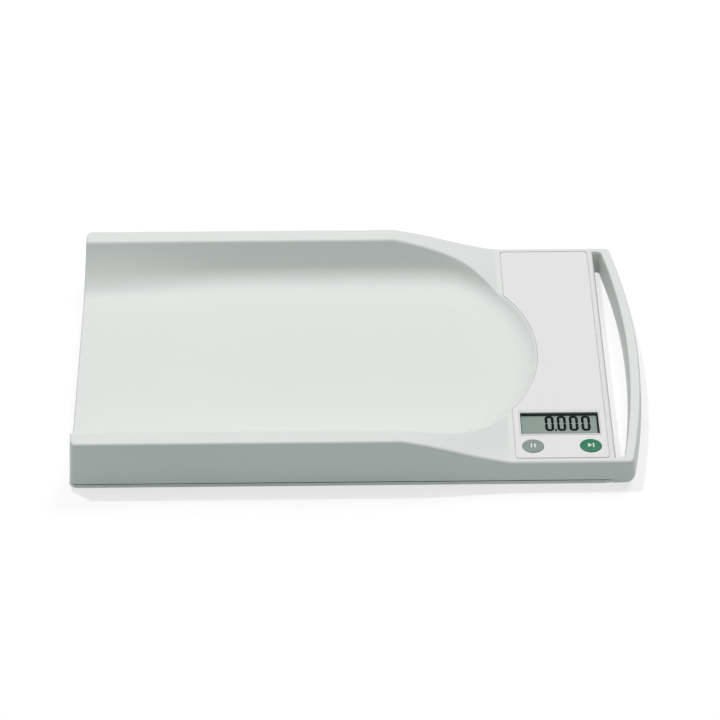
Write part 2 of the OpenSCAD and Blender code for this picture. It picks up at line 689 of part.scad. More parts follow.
// The bay with its hinge sockets, a finger scoop and two stops left in its front corners
module battery_bay() {
    difference() {
        block(bay_x0, bay_y0, foot_clearance - 1, bay_x1, bay_y1, bay_top);
        for (x = [bay_x0, bay_x1 - 5])
            block(x, bay_y0 - 1, foot_clearance + door_plate + 0.3, x + 5, bay_y0 + 2, foot_clearance + 4.2);
    }
    translate([bay_x0 - 3 * bay_wall, hinge_y, hinge_z]) rotate([0, 90, 0])
        cylinder(r = pin_radius + 0.1, h = bay_length + 6 * bay_wall);
    translate([(bay_x0 + bay_x1) / 2, bay_y0, foot_clearance - 4]) sphere(r = 5.2);
}

module housing_screws() color(steel) centred()
    for (p = housing_fixings) screw(p[0], p[1], foot_clearance + 3.2, floor_z - 6 - foot_clearance - 3.2);

// ---- batteries ----

module battery_door() color(base_grey) centred() {
    difference() {
        block(bay_x0 + door_gap, bay_y0 + door_gap, foot_clearance, bay_x1 - door_gap, hinge_y, foot_clearance + door_plate);
        for (k = [0:4]) block((bay_x0 + bay_x1) / 2 - 8, bay_y0 + 5 + 2.4 * k, foot_clearance - 1,
                              (bay_x0 + bay_x1) / 2 + 8, bay_y0 + 6 + 2.4 * k, foot_clearance + 0.5);
    }
    translate([bay_x0 + door_gap, hinge_y, hinge_z]) rotate([0, 90, 0])
        cylinder(r = barrel_radius, h = bay_length - 2 * door_gap);
    translate([bay_x0 - 1.4, hinge_y, hinge_z]) rotate([0, 90, 0])
        cylinder(r = pin_radius, h = bay_length + 2.8);
}

function battery_y(k) = bay_y0 + 1.2 + bay_pitch * (k - 0.5);
contact = 0.5;           // thickness of a contact plate
spring_seat = 0.5;       // centre of a spring's first turn above its plate
module facing(k) translate([(bay_x0 + bay_x1) / 2, battery_y(k), battery_z])
    rotate([0, 0, k % 2 == 0 ? 180 : 0]) translate([-bay_length / 2, 0, 0]) children();

// A cell with its raised end towards the flat contact
module battery_cell(k) color([0.25, 0.27, 0.30]) centred() facing(k)
    translate([contact + 0.1, 0, 0]) rotate([0, 90, 0]) {
        cylinder(r = 2.7, h = battery_length);
        translate([0, 0, 1]) cylinder(r = battery_diameter / 2, h = battery_length - 1);
    }

// Conical contact spring, as one unbroken wire
module contact_spring() {
    turns = 4;
    steps = 10;
    wire = 0.4;
    tall = bay_length - battery_length - 2 * contact - 0.4 - wire - spring_seat;
    loft([for (j = [0:turns * steps]) let (a = 360 * j / steps, r = mix(5.2, 2.8, j / (turns * steps)),
                                           h = tall * j / (turns * steps))
        [for (i = [0:5]) let (b = -60 * i) [(r + wire * cos(b)) * cos(a), (r + wire * cos(b)) * sin(a),
                                           h + wire * sin(b)]]]);
}

module battery_contacts() color(steel) centred() for (k = [1:BATTERIES]) facing(k) {
    block(0, -5.6, -5.6, contact, 5.6, 5.6);
    block(bay_length - contact, -6.2, -6.2, bay_length, 6.2, 6.2);
    translate([bay_length - contact - spring_seat, 0, 0]) rotate([0, -90, 0]) contact_spring();
}

// ---- leads: straight runs and quarter turns along the axes ----

function unit(v) = v / norm(v);
function cyc(v) = [v[1], v[2], v[0]];
module oriented(x, y, z, p) multmatrix([for (i = [0:2]) [x[i], y[i], z[i], p[i]]]) children();

module lead(pts, r, bend) {
    n = len(pts) - 1;
    for (i = [0:n - 1]) {
        d = unit(pts[i + 1] - pts[i]);
        a = pts[i] + (i > 0 ? bend : 0) * d;
        b = pts[i + 1] - (i < n - 1 ? bend : 0) * d;
        oriented(cyc(d), cross(d, cyc(d)), d, a) cylinder(r = r, h = norm(b - a));
    }
    for (i = [1:n - 1]) {
        u = unit(pts[i] - pts[i - 1]);
        v = unit(pts[i + 1] - pts[i]);
        oriented(-v, u, cross(-v, u), pts[i] - bend * u + bend * v)
            rotate_extrude(angle = 90) translate([bend, 0]) circle(r = r);
    }
}

cell_edge = carrier / 2 + fit;
left_exit = foot_xs[0] + cell_edge;
right_exit = foot_xs[1] - cell_edge;

// One lead from each load cell to its pin on the board; the rear ones cross behind the trough
module sensor_leads() color([0.85, 0.85, 0.85]) centred() {
    top = connector_z - 0.1;
    x = sensor_plug_x;
    ys = [for (k = [0:3]) sensor_plug_y + lead_step * k];
    lead([[left_exit, -foot_y, lead_z], [x, -foot_y, lead_z], [x, -foot_y, top]], lead_radius, lead_bend);
    for (way = [[left_exit, foot_y, deck_x - 10, ys[1]], [right_exit, foot_y, deck_x + 3, ys[2]],
                [right_exit, -foot_y, x + 11, ys[3]]])
        lead([[way[0], way[1], lead_z], [way[2], way[1], lead_z], [way[2], way[3], lead_z],
              [x, way[3], lead_z], [x, way[3], top]], lead_radius, lead_bend);
}

module battery_leads() color([0.7, 0.15, 0.12]) centred() {
    for (k = [0, 1]) let (y = k == 0 ? bay_y0 + 10 : bay_y1 - 10, x = battery_plug_x - 4 * k)
        lead([[bay_x0 - bay_wall - 0.2, y, battery_lead_z], [x, y, battery_lead_z],
              [x, battery_plug_y, battery_lead_z], [x, battery_plug_y, connector_z - 0.1]], battery_lead_radius, 3);
}

// ---- assembly ----

tray_shell();
base_cover();
panel_foil();
display_bezel();
display_window();
display_gasket();
lcd_glass();
lcd_digits();
lcd_holder();
zebra_strips();
main_board();
board_parts();
board_screws();
key_start();
key_hold();
switch_bodies();
plunger_start();
plunger_hold();
holder_screws();
housing_screws();
battery_door();
battery_contacts();
sensor_leads();
battery_leads();
for (i = [0:3]) {
    at_corner(i) foot_pad();
    at_corner(i) foot();
    at_corner(i) load_cell();
    at_corner(i) cell_holder();
}
for (k = [1:BATTERIES]) battery_cell(k);
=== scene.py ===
"""Looks of a digital baby weighing scale: an open-ended trough, a deck with display and keys, and a handle.

The CAD frame gives every piece its place. Sizes here are in millimetres on the bench, with X from a line
8 mm inside the trough's open end; metres() carries them to the frame.
"""

import math

import bmesh
import bpy
import numpy as np
from mathutils import Matrix, Vector


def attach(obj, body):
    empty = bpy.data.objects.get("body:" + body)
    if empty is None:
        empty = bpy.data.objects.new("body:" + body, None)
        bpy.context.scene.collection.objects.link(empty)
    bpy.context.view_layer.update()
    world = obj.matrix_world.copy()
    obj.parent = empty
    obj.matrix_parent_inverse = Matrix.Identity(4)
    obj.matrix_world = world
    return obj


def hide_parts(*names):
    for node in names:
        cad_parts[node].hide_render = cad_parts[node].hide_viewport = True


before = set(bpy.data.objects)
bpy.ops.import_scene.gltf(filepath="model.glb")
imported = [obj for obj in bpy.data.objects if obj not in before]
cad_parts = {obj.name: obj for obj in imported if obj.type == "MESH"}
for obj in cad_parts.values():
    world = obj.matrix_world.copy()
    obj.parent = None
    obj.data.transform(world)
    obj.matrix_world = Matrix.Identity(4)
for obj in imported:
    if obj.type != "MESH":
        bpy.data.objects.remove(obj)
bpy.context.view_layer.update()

# ---- Foot pads ----
# Soft rubber discs that stand on the table under each corner. Each is moulded with ring grooves
# in its face and is pressed into the foot above it.

MM = 0.001  # metres in a millimetre
MIDDLE = 288.75  # bench X of the frame's origin


class Wire:
    """One socket of a node tree. Arithmetic adds Math nodes, and node() adds any other node."""

    def __init__(self, tree, socket=None):
        self.tree, self.socket = tree, socket

    def node(self, kind, settings=None, inputs=None, out=0):
        made = self.tree.nodes.new(kind)
        for key, value in (settings or {}).items():
            setattr(made, key, value)
        for key, value in (inputs or {}).items():
            if isinstance(value, Wire):
                self.tree.links.new(value.socket, made.inputs[key])
            else:
                made.inputs[key].default_value = value
        return Wire(self.tree, made.outputs[out]) if len(made.outputs) else made

    def math(self, operation, *values):
        return self.node("ShaderNodeMath", {"operation": operation}, dict(enumerate(values)))

    def __add__(self, other):
        return self.math("ADD", self, other)

    def __sub__(self, other):
        return self.math("SUBTRACT", self, other)

    def __mul__(self, other):
        return self.math("MULTIPLY", self, other)


def emptied(block):
    """The cleared node tree of a material or world."""
    block.use_nodes = True
    block.node_tree.nodes.clear()
    return Wire(block.node_tree)


def finish(
    name, colour, rough, grain=0.0, grain_size=0.7, mottle=0.03, rough_spread=0.08, ripple=0.0, **shader
):
    """A moulded or rolled surface: faint cloudy colour, uneven gloss, and a fine grain on a long soft ripple.
    Sizes are in millimetres."""
    material = bpy.data.materials.new(name)
    here = emptied(material)
    place = here.node("ShaderNodeTexCoord", out="Object")

    def noise(per_metre, detail):
        return here.node("ShaderNodeTexNoise", {}, {"Vector": place, "Scale": per_metre, "Detail": detail})

    cloud = noise(14.0, 3.0)
    speck = noise(1000 / grain_size, 2.0)
    waves = noise(22.0, 1.0)
    low = [c * (1 - mottle) for c in colour] + [1]
    high = [min(c * (1 + mottle), 1) for c in colour] + [1]
    tint = here.node("ShaderNodeMix", {"data_type": "RGBA"}, {0: cloud, 6: low, 7: high}, out=2)
    relief = speck * grain + waves * ripple
    bump = here.node("ShaderNodeBump", {}, {"Height": relief, "Strength": 1.0, "Distance": MM})
    gloss = (cloud - 0.5) * rough_spread + speck * 0.04 + (rough - 0.02)
    values = {"Base Color": tint, "Roughness": gloss, "Normal": bump, **shader}
    surface = here.node("ShaderNodeBsdfPrincipled", {}, values)
    here.node("ShaderNodeOutputMaterial", {}, {"Surface": surface})
    return material


def metres(points):
    """Bench millimetres to the frame's metres, whose X starts at half the overall length."""
    return (np.asarray(points, float).reshape(-1, 3) - (MIDDLE, 0, 0)) * MM


def in_scene(name, data):
    """A new object at the origin that shows the given mesh, lamp or camera."""
    made = bpy.data.objects.new(name, data)
    bpy.context.scene.collection.objects.link(made)
    return made


def evaluated(made):
    """The mesh of an object as its modifiers leave it."""
    graph = bpy.context.evaluated_depsgraph_get()
    graph.update()
    return bpy.data.meshes.new_from_object(made.evaluated_get(graph))


def settled(made, kind, settings):
    """Applies one modifier, and keeps the result as a plain mesh."""
    modifier = made.modifiers.new(kind.lower(), kind)
    for key, value in settings.items():
        setattr(modifier, key, value)
    mesh = evaluated(made)
    made.modifiers.remove(modifier)
    made.data = mesh


def skin(name, points, faces):
    """A plain mesh from bench points."""
    mesh = bpy.data.meshes.new(name)
    mesh.from_pydata(metres(points).tolist(), [], [list(map(int, f)) for f in faces])
    return mesh


def dress(made, material, body, replaces=(), smooth_to=35):
    """Cleans a mesh, gives it its finish and smooth shading up to an angle, and lets it ride on a body."""
    mesh = made.data
    work = bmesh.new()
    work.from_mesh(mesh)
    bmesh.ops.remove_doubles(work, verts=work.verts, dist=2e-6)
    bmesh.ops.dissolve_degenerate(work, edges=work.edges, dist=1e-7)
    bmesh.ops.recalc_face_normals(work, faces=work.faces)
    work.to_mesh(mesh)
    work.free()
    mesh.materials.clear()
    mesh.materials.append(material)
    mesh.polygons.foreach_set("use_smooth", [True] * len(mesh.polygons))
    mesh.set_sharp_from_angle(angle=math.radians(smooth_to))
    settled(made, "WEIGHTED_NORMAL", {"keep_sharp": True})
    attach(made, body)
    if replaces:
        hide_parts(*replaces)


def piece(name, points, faces, material, body, slot, replaces=(), smooth_to=35):
    """A finished mesh with its place in its points, riding on a body."""
    dress(in_scene(name, skin(name, points, faces)), material, body, replaces, smooth_to)


def strip(rings, closed=True, capped=False):
    """Points and faces of a skin over rings of equal length."""
    count, size = len(rings), len(rings[0])
    points = np.concatenate([np.asarray(r, float) for r in rings])
    faces = []
    for j in range(count - 1):
        for i in range(size if closed else size - 1):
            a, b = j * size + i, j * size + (i + 1) % size
            faces.append((a, b, b + size, a + size))
    if capped:
        faces.append(tuple(range(size))[::-1])
        faces.append(tuple(range((count - 1) * size, count * size)))
    return points, faces


def turned(profile, centre, steps=72):
    """A lathe shape round a vertical axis; the profile is (radius, height) from axis to axis."""
    angles = np.arange(steps) * 2 * math.pi / steps
    rings = []
    for radius, z in profile:
        r = max(radius, 0.01)
        rings.append([(centre[0] + r * math.cos(a), centre[1] + r * math.sin(a), z) for a in angles])
    return strip(rings, capped=True)


FEET_X, FEET_Y = {"left": 54.5, "right": 500.4}, {"front": -115, "rear": 115}
CORNERS = {end + "_" + side: (x, y) for side, x in FEET_X.items() for end, y in FEET_Y.items()}

pad_rubber = finish("pad_rubber", (0.035, 0.035, 0.037), 0.75, grain=0.05, grain_size=0.5, mottle=0.15)
pad_grooves = [(4, 0), (4.4, 0.5), (5.2, 0.5), (5.6, 0), (8.4, 0), (8.8, 0.5), (9.6, 0.5), (10, 0)]
pad_rim = [(12.6, 0), (13.3, 0.2), (13.8, 0.6), (14, 1.2), (14, 2.2)]
pad_profile = [(0, 0)] + pad_grooves + pad_rim + [(0, 2.2)]
for corner, centre in CORNERS.items():
    pad = turned(pad_profile, centre)
    piece("rubber_pad_" + corner, *pad, pad_rubber, "housing", "pad_rubber", ["foot_pad_" + corner])

# ---- Feet ----
# Dark moulded buttons that carry the pads. Each stands in a round window of the base cover and passes
# the load up to the tongue of its load cell.

foot_plastic = finish("foot_plastic", (0.075, 0.078, 0.082), 0.55, grain=0.03)
pad_socket = [(0, 2.2), (14.1, 2.2), (14.1, 1.3), (14.4, 1.2)]
foot_rim = [(15.4, 1.2), (15.85, 1.4), (16, 1.9), (16, 4.5), (15.8, 4.8)]
foot_boss = [(9, 6.5), (9, 8.5), (2.5, 8.5), (2.5, 11), (0, 11)]
for corner, centre in CORNERS.items():
    foot = turned(pad_socket + foot_rim + foot_boss, centre)
    piece("foot_button_" + corner, *foot, foot_plastic, "housing", "foot_plastic", ["foot_" + corner])

# ---- Load cells, their holders and leads ----
# Stamped steel plates, one in a plastic holder over each foot, with a thin grey lead from each
# to the circuit board. They are out of sight inside the closed scale.

steel_look = {"grain": 0.02, "grain_size": 0.4, "rough_spread": 0.2, "Metallic": 1.0}
cell_steel = finish("cell_steel", (0.52, 0.53, 0.55), 0.32, **steel_look)
holder_plastic = finish("holder_plastic", (0.60, 0.61, 0.58), 0.5, grain=0.03)
lead_skin = finish("lead_skin", (0.45, 0.45, 0.45), 0.5, grain=0.02)
red_lead_skin = finish("red_lead_skin", (0.42, 0.04, 0.03), 0.45, grain=0.02)


def carried_over(material, *names):
    """CAD nodes that are shown as they are, in a finish of their own."""
    for name in names:
        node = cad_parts[name]
        node.data.materials.clear()
        node.data.materials.append(material)


carried_over(cell_steel, *["load_cell_" + c for c in CORNERS])
carried_over(holder_plastic, "lcd_holder", *["cell_holder_" + c for c in CORNERS])
carried_over(lead_skin, "sensor_leads")
carried_over(red_lead_skin, "battery_leads")

# ---- Base cover and battery door ----
# The flat lower moulding in a pale matt grain. It closes the housing from below, and a hinged door
# in it opens downwards to the battery bay.

base_grain = finish("base_grain", (0.82, 0.83, 0.82), 0.5, grain=0.06, grain_size=0.9, mottle=0.02)
carried_over(base_grain, "base_cover", "battery_door")

# ---- Batteries and their contacts ----
# Four standard cells in plain sleeves lie side by side between plated plates and springs.

cell_sleeve = finish("cell_sleeve", (0.035, 0.05, 0.075), 0.28, grain=0.005, **{"Coat Weight": 0.6})
contact_plate = finish("contact_plate", (0.62, 0.61, 0.58), 0.25, grain=0.01, Metallic=1.0)
carried_over(cell_sleeve, *["battery_cell_%d" % k for k in range(1, 5)])
carried_over(contact_plate, "battery_contacts")

# ---- Screws ----
# Plated self-tapping screws with round heads and a cross recess: two in each cell holder,
# ten from the base cover up into the housing, and four that hold the board.

screw_plate = finish("screw_plate", (0.55, 0.56, 0.56), 0.3, grain=0.01, Metallic=1.0)


class Growth:
    """A geometry tree with named inputs, made into a plain mesh."""

    def __init__(self, name, **inputs):
        self.tree = bpy.data.node_groups.new(name, "GeometryNodeTree")
        sockets = self.tree.interface
        for way in ("INPUT", "OUTPUT"):
            sockets.new_socket("Geometry", in_out=way, socket_type="NodeSocketGeometry")
        self.values = {}
        for key, value in inputs.items():
            socket = sockets.new_socket(key, in_out="INPUT", socket_type="NodeSocketFloat")
            socket.default_value = value
            self.values[socket.identifier] = value
        entry = self.tree.nodes.new("NodeGroupInput")
        self.seed = Wire(self.tree, entry.outputs["Geometry"])
        self.size = {key: Wire(self.tree, entry.outputs[key]) for key in inputs}
        self.node = self.seed.node

    def vector(self, **parts):
        return self.node("ShaderNodeCombineXYZ", {}, parts)

    def moved(self, part, **how):
        return self.node("GeometryNodeTransform", {}, {"Geometry": part, **how})

    def read(self, name):
        """A vector that each point of the cloud carries."""
        return self.node("GeometryNodeInputNamedAttribute", {"data_type": "FLOAT_VECTOR"}, {"Name": name})

    def rod(self, sides, radius, depth):
        values = {"Vertices": sides, "Radius": radius, "Depth": depth}
        return self.node("GeometryNodeMeshCylinder", {}, values)

    def join(self, *parts):
        both = self.node("GeometryNodeJoinGeometry")
        for part in parts:
            self.tree.links.new(part.socket, both.socket.node.inputs[0])
        return both

    def grown(self, part, points, material, name, **carried):
        """Sets the part on every point of a cloud, turned and scaled by what the point carries."""
        spread = {"Points": self.seed, "Instance": part, "Rotation": self.read("turn")}
        if "stretch" in carried:
            spread["Scale"] = self.read("stretch")
        geometry = self.node("GeometryNodeInstanceOnPoints", {}, spread)
        whole = self.node("GeometryNodeRealizeInstances", {}, {"Geometry": geometry})
        painted = self.node("GeometryNodeSetMaterial", {}, {"Geometry": whole, "Material": material})
        exit_node = self.tree.nodes.new("NodeGroupOutput")
        self.tree.links.new(painted.socket, exit_node.inputs["Geometry"])
        cloud = skin(name + "_places", points, [])
        for key, values in carried.items():
            vectors = cloud.attributes.new(key, "FLOAT_VECTOR", "POINT")
            vectors.data.foreach_set("vector", np.ravel(values))
        holder = in_scene(name + "_places", cloud)
        modifier = holder.modifiers.new("grow", "NODES")
        modifier.node_group = self.tree
        for identifier, value in self.values.items():
            modifier[identifier] = value
        mesh = evaluated(holder)
        bpy.data.objects.remove(holder)
        return in_scene(name, mesh)


SCREW_TURN = 23  # degrees that each screw stops beyond the one before
SCREW = {"head_radius": 2.8 * MM, "head_height": 1.8 * MM, "shank_radius": 1.25 * MM, "slot": 0.7 * MM}


def screws(name, seats, seat_z, upwards, length, node):
    """Screws with the undersides of their heads on the given places, at one height."""
    grow = Growth(name, shank=length * MM, **SCREW)
    size = grow.size
    head = grow.rod(28, size["head_radius"], size["head_height"])
    head = grow.moved(head, Translation=grow.vector(Z=size["head_height"] * -0.5))
    bar = grow.vector(X=size["head_radius"] * 1.3, Y=size["slot"], Z=size["head_height"])
    depth = grow.vector(Z=size["head_height"] * -1.1)
    for quarter in (0, math.pi / 2):
        cutter = grow.node("GeometryNodeMeshCube", {}, {"Size": bar})
        cutter = grow.moved(cutter, Translation=depth, Rotation=(0, 0, quarter))
        cut = {"Mesh 1": head, "Mesh 2": cutter}
        head = grow.node("GeometryNodeMeshBoolean", {"operation": "DIFFERENCE"}, cut)
    stem = grow.rod(20, size["shank_radius"], size["shank"])
    stem = grow.moved(stem, Translation=grow.vector(Z=size["shank"] * 0.5))
    turns = [(0 if upwards else 180, 0, SCREW_TURN * k) for k in range(len(seats))]
    places = [(x, y, seat_z) for x, y in seats]
    made = grow.grown(grow.join(head, stem), places, screw_plate, name, turn=np.radians(turns))
    dress(made, screw_plate, "housing", [node])


side_seats = [(18.5, 142), (177.375, 102), (310, 102), (440, 142)]
cover_seats = [(x, s * y) for s in (-1, 1) for x, y in side_seats] + [(534, -25), (534, 142)]
holder_seats = [(x, y + along) for x, y in CORNERS.values() for along in (-28, 28)]
board_seats = [(452, -75), (532, -75), (481.14, -138), (501.06, -138)]
screws("base_screws", cover_seats, 5.2, True, 12.8, "housing_screws")
screws("cell_holder_screws", holder_seats, 10.6, False, 6, "holder_screws")
screws("circuit_screws", board_seats, 22.4, True, 8.6, "board_screws")

# ---- Circuit board ----
# A green board with the converter, processor, connectors and two push switches. It hangs from
# bosses under the deck, and the display's glass stands on it in a frame.

board_mask = finish("board_mask", (0.012, 0.10, 0.045), 0.35, grain=0.02, grain_size=1.2, mottle=0.2)
component_black = finish("component_black", (0.02, 0.02, 0.022), 0.45, grain=0.03)
contact_rubber = finish("contact_rubber", (0.12, 0.12, 0.13), 0.7, grain=0.04)
carried_over(board_mask, "main_board")
carried_over(component_black, "board_parts", "switch_bodies", "plunger_start", "plunger_hold")
carried_over(contact_rubber, "zebra_strips")

# ---- Top housing ----
# One large satin-white moulding: the trough with its two side walls, the slope down to the deck, and the
# bowed handle round its finger slot. It is swept here as half sections and mirrored, then given its wall.

HALF, SEAM, DECK, RIM, FLOOR = 155.0, 7.0, 37.8, 69.4, 24.0
SPLAY = 2.0  # how far the side walls lean out on their way down to the seam
FOOT = HALF + SPLAY
OPEN_END = -8.0
SLOPE = (327.0, 438.0)  # the shoulder runs down between these
NEAR = 0.5  # the stations on both sides of a bend stand this far from it
STRAIGHT_FALL, WAVE_FALL = 0.7, 0.15  # shares of the shoulder's fall: a straight line, and half of a wave
CROWN, CROWN_SKEW, CROWN_WIDTH = 3.8, 1.8, 38.0  # the shoulder's bulge: rise, skew to its foot, width
SCOOP_X, SLOT_X, CORNER_X = 348.0, 546.0, 563.2
SLOT_HALF = 148.0  # half the finger slot's length
RIM_INNER, FLOOR_HALF, KNEE = 138.0, 92.0, (127.08, 41.05)
BELLY = (36.0, 22.0)  # the wall's rounding over the floor: outwards, upwards
MOUTH_FLOOR, MOUTH_POWER = 84.0, 0.45  # the flared open end's half floor, and how fast its wall steepens
FLARE = 200.0  # length over which the flare fades into the steep wall
SWELL, SWELL_FROM = 0.018, 0.8  # the scoop's widening as a share, and the angle where it ends
EDGE, SOFT = 3.0, 2.6  # roundings of the outer edge and of the rim's inner edge
SLOT_EDGE, SLOT_DROP = 3.6, 16.0  # the finger slot's rounded edge: width and depth
GRIP_EDGE, GRIP_DROP = 1.5, 5.0  # the same on the grip's side
WALL_LEAN = 1.5  # draft of the slot's wall and of the grip's outer face, down to the seam
LIP, ROLL, CORNER = 3.0, 1.7, 8.0  # the open end's roll, down and outwards, and its plan corners
MOUTH_LEAN, LEAN_FROM, LEAN_FADE = 4.2, 10.5, 8.0  # the open end leans back: by, above, fading over
EDGE_POINTS, SLOT_POINTS, WALL_POINTS = 7, 6, 6  # on the outer edge, the slot's edge and a straight wall

satin = {"grain": 0.012, "grain_size": 0.8, "mottle": 0.008, "ripple": 0.01, "Specular IOR Level": 0.45}
housing_white = finish("housing_white", (0.800, 0.815, 0.800), 0.5, **satin)


def held(value):
    """A value held between 0 and 1."""
    return min(max(value, 0), 1)


def eased(t):
    """A share that starts and ends gently."""
    return t * t * (3 - 2 * t)


def quarter_turn(points):
    return np.linspace(0, math.pi / 2, points)


def top_height(x, y=HALF):
    """The top surface: level, then down the shoulder to the deck, with a crown towards the scoop."""
    t = np.clip((x - SLOPE[0]) / (SLOPE[1] - SLOPE[0]), 0, 1)
    crown = CROWN * np.sin(math.pi * t**CROWN_SKEW) * eased(held((HALF - abs(y)) / CROWN_WIDTH))
    left = 1 - STRAIGHT_FALL * t - WAVE_FALL * (1 - np.cos(math.pi * t))
    return DECK + (RIM - DECK) * left + crown


def wall_radius(z, steep):
    """How far out the trough's surface is at a height: steep is 0 at the open end and 1 past the flare."""
    curve = FLOOR_HALF + BELLY[0] * np.sqrt(np.clip(1 - (1 - (z - FLOOR) / BELLY[1]) ** 2, 0, 1))
    upper = KNEE[0] + (RIM_INNER - KNEE[0]) * (z - KNEE[1]) / (RIM - KNEE[1])
    deep = curve if z < KNEE[1] else upper
    climb = max(z - FLOOR, 0) / (RIM - FLOOR)
    gentle = MOUTH_FLOOR + (RIM_INNER - MOUTH_FLOOR) * climb**MOUTH_POWER
    return float(gentle * (1 - steep) + deep * steep)


def splayed(point):
    """The side walls lean out a little towards the seam."""
    x, y, z = point
    return (x, y * (1 + SPLAY / HALF * (RIM - z) / (RIM - SEAM)), z)


def inner_section(origin, angle, steep):
    """From the floor's middle up the wall and over the rim's soft edge; ends just outside it."""
    c, s = math.cos(angle), math.sin(angle)
    swell = 1 + SWELL * math.sin(math.pi * held((abs(angle) - SWELL_FROM) / (math.pi / 2 - SWELL_FROM))) ** 2

    def radius(height):
        return wall_radius(height, steep) * swell

    def top(r):
        return float(top_height(origin + r * c, r * s))

    z = RIM
    for _ in range(40):
        z = top(radius(z))
    edge = np.array([radius(z), z])
    low = np.array([radius(z - SOFT), z - SOFT])
    high = np.array([edge[0] + SOFT, top(edge[0] + SOFT)])
    climb = FLOOR + (low[1] - FLOOR) * np.linspace(0, 1, 30) ** 1.9
    line = [(r, FLOOR) for r in np.linspace(0, radius(FLOOR), 9)[:-1]] + [(radius(h), h) for h in climb]
    for t in np.linspace(0, 1, 7)[1:]:
        line.append(tuple((1 - t) ** 2 * low + 2 * t * (1 - t) * edge + t * t * high))
    return [(origin + r * c, r * s, h) for r, h in line]


def over_top(start, end):
    """Points on the top surface from one plan point to another."""
    gap = math.dist(start[:2], end[:2])
    shares = [min(0.12, 1.2 / gap), 0.25, 0.4, 0.55, 0.7, 0.85, 1]
    plan = [np.array(start[:2]) * (1 - f) + np.array(end[:2]) * f for f in shares]
    return [(x, y, float(top_height(x, y))) for x, y in plan]


def outer_side(x):
    """The rounded outer edge and the front wall below it."""
    z = float(top_height(x))
    line = []
    for a in quarter_turn(EDGE_POINTS):
        line.append((x, -(HALF - EDGE + EDGE * math.sin(a)), z - EDGE + EDGE * math.cos(a)))
    for h in np.linspace(z - EDGE, SEAM, WALL_POINTS)[1:]:
        line.append((x, -HALF, h))
    return [splayed(p) for p in line]


def slot_lean(h):
    """How far the slot's wall has leaned towards the handle at a height."""
    return WALL_LEAN * (DECK - SLOT_DROP - h) / (DECK - SLOT_DROP - SEAM)


def slot_side(start, wall):
    """The slot's rounded edge and its straight wall, which leans like the outer ones."""
    start, wall = np.array(start), np.array(wall)
    line = []
    for a in quarter_turn(SLOT_POINTS)[1:]:
        x, y = start + (wall - start) * math.sin(a)
        line.append((x, y, DECK - SLOT_DROP * (1 - math.cos(a))))
    for h in np.linspace(DECK - SLOT_DROP, SEAM, WALL_POINTS)[1:]:
        line.append((wall[0] + slot_lean(h), wall[1], h))
    return line


shell_points, shell_faces = [], []


def add(rings):
    """Joins a skin over open rings to the housing's half."""
    points, faces = strip(rings, closed=False)
    first = len(shell_points)
    shell_points.extend(map(tuple, points))
    shell_faces.extend(tuple(first + i for i in f) for f in faces)


# stations along the front: (inner section, where its flat top ends), to the start of the scoop and round it
land_y = -SLOT_HALF - SLOT_EDGE
slot_plan = SLOT_X - SLOT_EDGE
deck_start = SLOPE[1] + NEAR
near_mouth = [OPEN_END + ROLL, -4.5, -2.5, 0.0, 3.0]
along_trough = set(np.linspace(6, SLOPE[0] - NEAR, 61)) | {SLOPE[0] + NEAR}
before_scoop = {SCOOP_X - back for back in (15, 10, 5, 0)}
down_shoulder = set(np.linspace(SCOOP_X + 4, SLOPE[1] - NEAR, 26)) | {SLOPE[1], deck_start}
front = []
for x in near_mouth + sorted(along_trough | before_scoop):
    steep = eased(min((x - OPEN_END) / FLARE, 1))
    front.append((inner_section(x, -math.pi / 2, steep), (x, land_y)))


def scoop_station(target):
    """The station of the scoop whose outer end has the given X, and its angle."""
    low, high = -math.pi / 2, 0
    for _ in range(40):
        middle = (low + high) / 2
        if inner_section(SCOOP_X, middle, 1)[-1][0] < target:
            low = middle
        else:
            high = middle
    return inner_section(SCOOP_X, low, 1), low


for x in sorted(down_shoulder):
    section, last_angle = scoop_station(x)
    front.append((section, (section[-1][0], land_y)))
ARM_SWEEP, ARM_STEPS, SLOT_STEPS = math.radians(9), 10, 30  # the stations that fan out to the slot's corner
for k in range(1, ARM_STEPS + 1):
    angle = last_angle + ARM_SWEEP * k / ARM_STEPS
    end_x = deck_start + (slot_plan - deck_start) * k / ARM_STEPS
    front.append((inner_section(SCOOP_X, angle, 1), (end_x, land_y)))
first_angle = last_angle + ARM_SWEEP
slot_stations = []
for k, y in enumerate([land_y] + list(np.linspace(-144, 0, SLOT_STEPS))):
    section = inner_section(SCOOP_X, first_angle * (1 - k / SLOT_STEPS), 1)
    slot_stations.append((section, (slot_plan, y)))


def at_mouth(ring, x):
    """The open end leans back towards its top and its plan corners are rounded; both fade out inwards."""
    fade = min(1 - (x - OPEN_END - ROLL) / LEAN_FADE, 1)
    pull = CORNER - math.sqrt(CORNER**2 - max(CORNER - (x - OPEN_END), 0) ** 2)
    moved = []
    for px, py, pz in ring:
        lean = MOUTH_LEAN * max(fade, 0) * max(pz - LEAN_FROM, 0) / (RIM - LIP - LEAN_FROM)
        moved.append((px + lean, py + pull * held((-py - RIM_INNER) / (HALF - RIM_INNER)), pz))
    return moved


front_sides = [s + over_top(s[-1], end) + outer_side(end[0]) for s, end in front]
add([at_mouth(ring, end[0]) for ring, (_, end) in zip(front_sides, front)])
add([s + over_top(s[-1], e) + slot_side(e, (SLOT_X, max(e[1], -SLOT_HALF))) for s, e in slot_stations])

